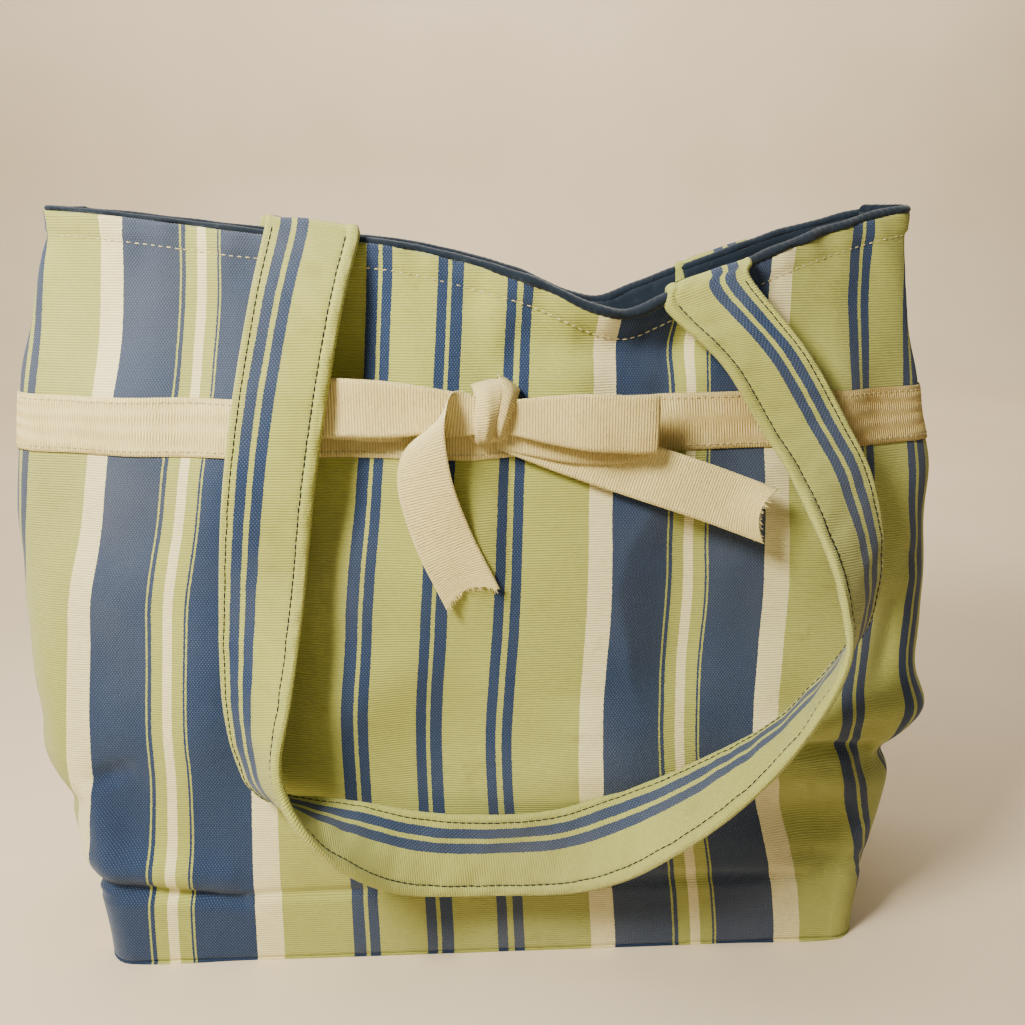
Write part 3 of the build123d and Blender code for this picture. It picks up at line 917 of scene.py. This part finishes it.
def make_bow():
    knot_low, knot_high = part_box("bow_knot")
    knot_x = (knot_low[0] + knot_high[0]) / 2
    knot_z = (knot_low[2] + knot_high[2]) / 2
    knot_back = -knot_high[1]
    deep = -knot_low[1] - knot_back
    half_height = (knot_high[2] - knot_low[2]) / 2

    def wrap(name, left_edge, right_edge, reach, middle, height_share, pleats, lean):
        """One turn of ribbon over the knot: a patch from its top, over the front, to its foot."""
        tall = half_height * height_share
        turns = np.linspace(-0.5 * math.pi, 0.5 * math.pi, 140)
        shares = np.linspace(0, 1, 49)
        roll = (1 - np.abs(2 * shares - 1) ** 2.6) ** 0.5
        rows = []
        for turn in turns:
            level = math.sin(turn)
            left_x = np.interp(level, [-1, 1], left_edge) * MM
            right_x = np.interp(level, [-1, 1], right_edge) * MM
            body = max(math.cos(turn), 0) ** 0.6
            folds = 0.45 * MM * np.cos(2 * math.pi * pleats * shares + 1.3 * level)
            rib = rib_wave(turn * tall, 0.12 * MM)
            depth = body * (reach * deep * (0.45 + 0.55 * roll) + folds) + rib * body
            twist = 0.7 * MM * math.sin(2.2 * turn) * (1 - shares)
            x = knot_x + left_x + (right_x - left_x) * shares + twist
            bow = 1 - 0.08 * (2 * shares - 1) ** 2
            z = knot_z + middle * MM + tall * level * bow + lean * MM * (shares - 0.5)
            rows.append(np.column_stack([x, -(knot_back + depth), z]))
        points = np.stack(rows)
        length = (turns + math.pi / 2) * tall
        uvs = cloth_uvs(shares[None, :] * RIBBON_WIDTH, length[:, None], points)
        piece = grid_object(name, points, ribbon, uvs)
        thicken(piece, RIBBON)
        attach(piece, "bag")
        if name == "bow_knot_wrap":
            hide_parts("bow_knot")

    for turn in KNOT_TURNS:
        wrap(*turn)

    root_y = -(knot_back + 6 * MM)
    for end, root_x, root_rise, tip_side, tip_rise, tilt in (
        ("left", knot_low[0] + 7 * MM, 1 * MM, 0, 0.0, 3.0 * MM),
        ("right", knot_high[0] - 7 * MM, -1 * MM, 1, 1.5 * MM, 7.5 * MM),
    ):
        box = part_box(f"bow_loop_{end}")
        low, high = box
        start = (root_x, root_y, knot_z + root_rise)
        tip = (box[tip_side][0], (low[2] + high[2]) / 2 + tip_rise)
        back_y = high[1] - 0.6 * MM
        front_y = low[1] + 0.6 * MM
        loop(f"bow_{end}_loop", f"bow_loop_{end}", start, tip, back_y, front_y, tilt)


def cut_end(points, depth, slant):
    """Shapes the last columns of a strip into a hollow, uneven cut."""
    rows, columns = points.shape[:2]
    steps = np.linspace(-1, 1, rows)
    reach = int(columns * 0.22)
    for r in range(rows):
        shift = depth * (1 - steps[r] ** 2) + slant * steps[r]
        for c in range(columns - reach, columns):
            t = (c - (columns - reach)) / (reach - 1)
            direction = points[r, columns - 1] - points[r, columns - 2]
            points[r, c] = points[r, c] - unit(direction) * shift * t * t
    return points


FIBRES = 70


def tail(end, route, across, widths, depth, slant):
    """One of the bow's two tails, with its cut and frayed end; here only its frayed fibres are tied to
    its body.
    """
    name = f"bow_{end}_tail"
    body = f"bow_tail_{end}"
    line = spline_points(np.column_stack([route, across, widths]), 360)
    rows = 17
    points, uvs, normal, length = ribbon_rows(
        line, rows, 0.6 * MM, 12 * MM, 22 * MM, 9.4, 0.8 * MM
    )
    points = cut_end(points, depth, slant)
    strip = grid_object(name, points, fresh_ribbon, uvs)
    thicken(strip, RIBBON, 0.0)
    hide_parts(body)
    picks = random.uniform(0, rows - 1, FIBRES)
    low = np.clip(np.floor(picks).astype(int), 0, rows - 2)
    mix = (picks - low)[:, None]
    ends, before = [points[low, c] * (1 - mix) + points[low + 1, c] * mix for c in (-1, -4)]
    directions = unit(ends - before)
    roots = ends - directions * 0.3 * MM
    normals = np.repeat(normal[-1:], FIBRES, 0)
    threads = fray(f"{name}_fray", roots, directions, normals, 2.4 * MM, 0.15 * MM, fresh_ribbon)
    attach(threads, body)
    return strip


def front_face_y(x, z):
    """Where the front cloth's surface lies at a place, folds included."""
    shares = np.linspace(-0.9, 0.9, 181)
    points, _, _ = outer["front"].place(shares, np.full_like(shares, z))
    return float(np.interp(x, points[:, 0], points[:, 1]))


def clear_of_cloth(route, across, widths, gap):
    """The same route, moved out where the cloth or the band behind it stands too near."""
    cleared = np.array(route, float)
    for k, (place, cross, width) in enumerate(zip(route, across, widths)):
        cross = np.array(cross) / np.linalg.norm(cross)
        for part in (-0.5, -0.25, 0, 0.25, 0.5):
            edge = place + cross * width * part
            face = front_face_y(edge[0], edge[2]) - gap
            cleared[k, 1] = min(cleared[k, 1], face - (edge[1] - place[1]))
    return cleared


def make_tails():
    low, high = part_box("bow_tail_left")
    plane = (low[1] + high[1]) / 2
    top = high[2]
    left = np.array([
        (-1, -1.0, -1.0), (-9, -1.5, 0.5), (-16, -3.0, 0.0), (-22.5, -5.5, -4.5), (-26.5, -5.0, -15),
        (-25.5, -3.0, -32), (-18, 0.0, -56), (-6, 1.5, -82),
    ]) * MM
    route = left + np.array([0, plane, top])
    across = [
        (0, -0.05, 1), (0.05, -0.1, 1), (0.2, -0.35, 0.93), (0.5, -0.7, 0.5), (0.78, -0.5, 0.35),
        (0.92, -0.25, 0.25), (0.93, 0.02, 0.36), (0.92, 0.1, 0.39),
    ]
    widths = np.array([14, 19, 21.5, 23.5, 24.5, 25, 25, 25]) * MM
    route = clear_of_cloth(route, across, widths, 2.2 * MM)
    strip = tail("left", route, across, widths, 5.0 * MM, -1.0 * MM)
    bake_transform(strip)

    low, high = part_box("bow_tail_right")
    plane = (low[1] + high[1]) / 2
    start = np.array([low[0] + 3.2 * MM, plane, high[2] - 12.1 * MM])
    right = np.array([
        (-4, 0.2, 12), (17, 0, 4.5), (37, -0.4, -2.5), (57, 0.6, -9.5), (84, 1.4, -19), (113, 0.6, -30),
    ]) * MM
    across = [(0.34, 0, 0.94)] * 3 + [(0.32, 0.06, 0.94), (0.32, 0.1, 0.94), (0.34, 0.12, 0.94)]
    widths = np.array([22, 24, 25, 25, 25, 25]) * MM
    route = clear_of_cloth(start + right, across, widths, 1.6 * MM)
    strip = tail("right", route, across, widths, 7.0 * MM, 2.0 * MM)
    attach(strip, "bow_tail_right")


# ------------------------------------------------------------------ handles
# Place along X, drop below the corners, distance off the panel, edge direction.
HANDLE_ROUTE = [
    (-77, 36, 13, (1, 0, 0)), (-85, 76, 17.5, (1, 0, 0)),
    (-92, 118, 17, (1, -0.05, 0)), (-97, 161, 16.5, (0.98, -0.2, 0.05)),
    (-101, 204, 20, (0.86, -0.47, 0.2)), (-101, 233, 24, (0.6, -0.7, 0.4)),
    (-95, 249, 26, (0.4, -0.8, 0.4)), (-84, 258, 27, (0.35, -0.93, 0)),
    (-67, 269, 23, (0.25, -0.85, -0.45)), (-38, 284, 14, (0.1, -0.4, -0.9)),
    (0, 289, 11, (0.1, -0.2, -0.98)), (40, 286, 13, (0.2, -0.4, -0.9)),
    (76, 267, 21, (0.3, -0.85, -0.4)), (110, 244, 26, (0.2, -0.95, 0)),
    (136, 220, 30, (0.06, -0.94, 0.34)), (157, 191, 32, (-0.3, -0.9, 0.28)),
    (164, 172, 29, (-0.6, -0.75, 0.25)), (163, 146, 25, (-0.82, -0.55, 0.07)),
    (152, 113, 18, (-0.98, -0.17, 0.02)), (140, 92, 14.5, (-1, 0, -0.05)),
    (121, 62, 13, (-1, 0, -0.1)),
]


def face_distance(x, z):
    """How far the even panel stands from the bag's middle at a place."""
    width, depth, side_depth = [np.interp(z, LEVELS[:, 0], LEVELS[:, k]) for k in (1, 2, 3)]
    return side_depth / 2 + (depth - side_depth) / 2 * (1 - min(abs(x) / (width / 2), 1) ** 2)


# How each end comes out of the wall, rises and turns over the rim: out and up in millimetres.
LEFT_TURN = [(-3.4, -6), (-2.8, 2.5), (0.6, 6.0), (4.2, 1.5)]
RIGHT_TURN = [(5.4, -6), (2.6, 1.0), (-0.5, 2.2), (-2.6, -5)]
SEWN_ENDS = {"front": (-71 * MM, 97 * MM), "back": (-88 * MM, 117 * MM)}


def turn_over_rim(x, turn, edge):
    """Stations of one sewn end, at a place along the rim."""
    rim = float(rim_height(np.array(x)))
    face = face_distance(x, rim)
    return [(x, -(face + out * MM), rim + rise * MM) + edge for out, rise in turn]


def handle_line(left_x, right_x):
    """Centre and edge direction of the whole strap, from rim to rim."""
    route_left, route_right = SEWN_ENDS["front"]
    spread = (right_x - left_x) / (route_right - route_left)
    stations = turn_over_rim(left_x, LEFT_TURN, (0.98, 0, -0.12))
    for along, drop, stand, edge in HANDLE_ROUTE:
        x = left_x + (along * MM - route_left) * spread
        z = CORNER_HEIGHT - drop * MM
        stations.append((x, -(face_distance(x, z) + stand * MM), z) + edge)
    stations += turn_over_rim(right_x, RIGHT_TURN, (-0.94, 0, -0.33))
    return spline_points(np.array(stations, float), 900)


# The two rows of stitches along the strap, as shares of its width.
STITCH_LINES = {"outer": -0.415, "inner": 0.355}
SMOOTH_SHARE = 0.47


def strap_profile():
    """Half the strap's cross-section: place across and thickness share, with sewn borders."""
    across = np.concatenate([
        np.linspace(-0.5, -0.44, 4), np.linspace(-0.425, 0.30, 22),
        np.linspace(0.325, 0.44, 7), np.linspace(0.455, 0.5, 4),
    ])
    edge = np.clip((0.5 - np.abs(across)) / 0.035, 0, 1)
    thick = np.sqrt(np.clip(1 - (1 - edge) ** 2, 0.0, 1))
    thick -= 0.20 * np.exp(-((across - STITCH_LINES["outer"]) / 0.012) ** 2)
    thick -= 0.34 * np.exp(-((across - STITCH_LINES["inner"]) / 0.012) ** 2)
    thick += 0.34 * np.exp(-((across - 0.42) / 0.045) ** 2) * edge
    return across, np.clip(thick, 0.02, None)


def make_handle(bag_side, side):
    name = f"{bag_side}_handle"
    left_x, right_x = SEWN_ENDS[bag_side]
    line = handle_line(left_x, right_x)
    if side > 0:
        line = line * np.array([1, -1, 1, 1, -1, 1])
    centre, cross, normal = strip_axes(line)
    length = arc_length(centre)
    across, thick = strap_profile()
    half = len(line) // 2
    left_rim = float(rim_height(np.array(left_x)))
    right_rim = float(rim_height(np.array(right_x)))
    swell = 1 + 0.10 * wobble(np.column_stack([length, 0 * length, 0 * length]), 14 * MM, 3.3)
    bulge = 0.8 * MM * np.sin(4 * math.pi * length / length[-1])

    def surface_point(part, offset, face, extra=0.0):
        """A line along the strap, at a share of its width, on one of its faces."""
        ripple = 0.4 * MM * wobble(centre[part] + offset * 20 * MM, 9 * MM, 7.0 + face)
        share = float(np.interp(offset, across, thick))
        reach = face * (STRAP_THICK / 2 * share * swell[part] + extra)
        reach = reach + ripple * (abs(offset) < SMOOTH_SHARE) + bulge[part] * (1 - (2 * offset) ** 2)
        return centre[part] + cross[part] * offset * STRAP_WIDTH + normal[part] * reach[:, None]

    # Each half: its points, the stitched ones among them, the CAD ply, and where it bends.
    halves = {
        "left": (
            slice(0, half + 1), slice(22, None), "face_ply",
            (left_x, side * 42 * MM, left_rim + 8 * MM),
            (left_x, side * 50 * MM, left_rim - 34 * MM),
        ),
        "right": (
            slice(half, len(line)), slice(None, -22), "backing_ply",
            (right_x, side * 42 * MM, right_rim + 6 * MM),
            (right_x + 11 * MM, side * 46 * MM, right_rim - 28 * MM),
        ),
    }
    for end, (part, stitched, ply, bend_start, bend_end) in halves.items():
        ring = [(offset, 1) for offset in across] + [(offset, -1) for offset in across[::-1]]
        points = np.stack([surface_point(part, offset, face) for offset, face in ring], 1)
        u = np.array([(offset + 0.5) * STRAP_WIDTH for offset, face in ring])
        uvs = cloth_uvs(u[None, :], length[part][:, None], points)
        strap = grid_object(f"{name}_strap_{end}", points, strap_cloth, uvs, wrap=True, flip=side > 0)
        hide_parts(f"{name}_{ply}", f"{name}_tab_{end}")
        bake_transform(strap)
        for row_name, offset in STITCH_LINES.items():
            for face, face_name in ((1, "a"), (-1, "b")):
                path = surface_point(part, offset, face, 0.02 * MM)[stitched]
                normals = (normal[part] * face)[stitched]
                label = f"{name}_stitching_{end}_{row_name}_{face_name}"
                row = stitches(label, path, normals, 3.2 * MM, 3.05 * MM, 0.25 * MM, navy_thread)
                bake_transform(row)


# ------------------------------------------------------------------ plain CAD nodes
def dress_cad_nodes():
    """The base pieces keep their CAD shape and get cloth and board finishes."""
    finishes = {
        "base_panel": base_canvas_material(),
        "base_board": board,
        "lining_base": base_lining_material(),
    }
    for node, material in finishes.items():
        for material_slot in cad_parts[node].material_slots:
            material_slot.link = "OBJECT"
            material_slot.material = material


def base_canvas_material():
    """Canvas of the base: the stripes run front to back across it."""
    nodes = Nodes("base_canvas_cloth")
    space = nodes.space()
    split = nodes.add("ShaderNodeSeparateXYZ")
    nodes.link(space, split.inputs[0])
    across = nodes.math("MULTIPLY_ADD", split.outputs[0], 1000.0 * FULLNESS[0], STRIPE_SHIFT + DRIFT[0])
    along = nodes.times(split.outputs[1], 1000.0)
    factor = nodes.math("FRACT", nodes.math("DIVIDE", across, STRIPE_REPEAT))
    base = nodes.ramp(factor, stripe_stops(STRIPES, CANVAS_COLOURS), "CONSTANT")
    rib = nodes.crests(nodes.wave(along, CANVAS_RIB))
    # Painted shade: the cloth's colour is darkened in the troughs between its ribs.
    shade = nodes.mix(nodes.times(nodes.flipped(rib), 0.35), base, (0.5, 0.46, 0.36, 1), "MULTIPLY")
    color = stain(nodes, shade, 0.6, space)
    nodes.bump(rib, 0.3 * MM, 0.7)
    return nodes.finish(color, 0.92, 0.2)


def base_lining_material():
    nodes = Nodes("base_lining_cotton")
    space = nodes.space()
    lint = nodes.band(nodes.noise(space, 300.0, 3.0, 0.7), 0.58, 0.8)
    color = nodes.mix(nodes.times(lint, 0.4), NAVY, LINT)
    nodes.bump(nodes.noise(space, 1400.0, 1.0), 0.1 * MM, 0.4)
    return nodes.finish(color, 0.9, 0.3)


# ------------------------------------------------------------------ stage, lights, camera
HALF_STAGE = 3.5
BACKDROP = 1.6
BACKDROP_RADIUS = 0.5
BACKDROP_HEIGHT = 3.2


def make_stage():
    """A pale floor that curves up into a backdrop well behind the bag."""
    nodes = Nodes("pale_floor")
    shade = nodes.noise(nodes.space(), 3.0, 2.0)
    color = nodes.ramp(shade, [(0.3, rgb(226, 210, 184)), (0.7, rgb(232, 217, 192))])
    nodes.finish(color, 0.6)
    profile = [(-HALF_STAGE, 0.0), (BACKDROP, 0.0)]
    for angle in np.linspace(0, math.pi / 2, 20)[1:]:
        y = BACKDROP + BACKDROP_RADIUS * math.sin(angle)
        profile.append((y, BACKDROP_RADIUS * (1 - math.cos(angle))))
    profile.append((BACKDROP + BACKDROP_RADIUS, BACKDROP_HEIGHT))
    points = [[(x, y, z - 0.15 * MM) for x in (-HALF_STAGE, HALF_STAGE)] for y, z in profile]
    grid_object("studio_floor", np.array(points), nodes.material)


def put_in_scene(name, data, place):
    thing = bpy.data.objects.new(name, data)
    thing.location = place
    bpy.context.scene.collection.objects.link(thing)
    return thing


# Name, place, target, width and height, watts, colour.
LIGHTS = [
    (
        "window_key", (-0.38, -0.46, 0.68), (0.02, -0.05, 0.22), (0.18, 0.18), 8.6,
        (1.0, 0.965, 0.88),
    ),
    ("soft_fill", (0.4, -1.4, 0.6), (0, 0, 0.2), (1.2, 1.0), 1.2, (1.0, 0.95, 0.87)),
    ("top_soft", (-0.2, 0.1, 1.3), (0, 0, 0.2), (1.0, 0.8), 3.0, (1.0, 0.97, 0.93)),
    ("wall_wash", (0, 0.8, 1.7), (0, 2.1, 0.5), (3.0, 0.3), 42.0, (1.0, 0.96, 0.89)),
]


def make_lights():
    for name, place, target, (width, height), power, color in LIGHTS:
        light = bpy.data.lights.new(name, "AREA")
        light.shape = "RECTANGLE"
        light.size = width
        light.size_y = height
        light.energy = power
        light.color = color
        towards = Vector(target) - Vector(place)
        thing = put_in_scene(name, light, place)
        thing.rotation_euler = towards.to_track_quat("-Z", "Y").to_euler()
    world = bpy.data.worlds.new("pale_room")
    bpy.context.scene.world = world
    world.use_nodes = True
    background = world.node_tree.nodes["Background"]
    background.inputs[0].default_value = (1.0, 0.95, 0.87, 1)
    background.inputs[1].default_value = 0.15


def make_camera():
    """The camera stands just in front of the bag, a little below its rim's height."""
    camera = bpy.data.cameras.new("camera")
    camera.sensor_width = 36.0
    camera.lens = 36.0
    camera.clip_start = 0.01
    yaw = math.radians(3.0)
    pitch = math.radians(15.3)
    thing = put_in_scene("camera", camera, (-11 * MM, -490 * MM, 342 * MM))
    thing.rotation_euler = (math.pi / 2 - pitch, 0, -yaw)
    bpy.context.scene.camera = thing
    bpy.context.scene.view_settings.look = "AgX - Medium High Contrast"


make_panels()
make_seam_allowances()
make_linings()
make_rim_rolls()
make_topstitching()
make_band()
make_bow()
make_tails()
for bag_side, side in SIDES.items():
    make_handle(bag_side, side)
dress_cad_nodes()
make_stage()
make_lights()
make_camera()
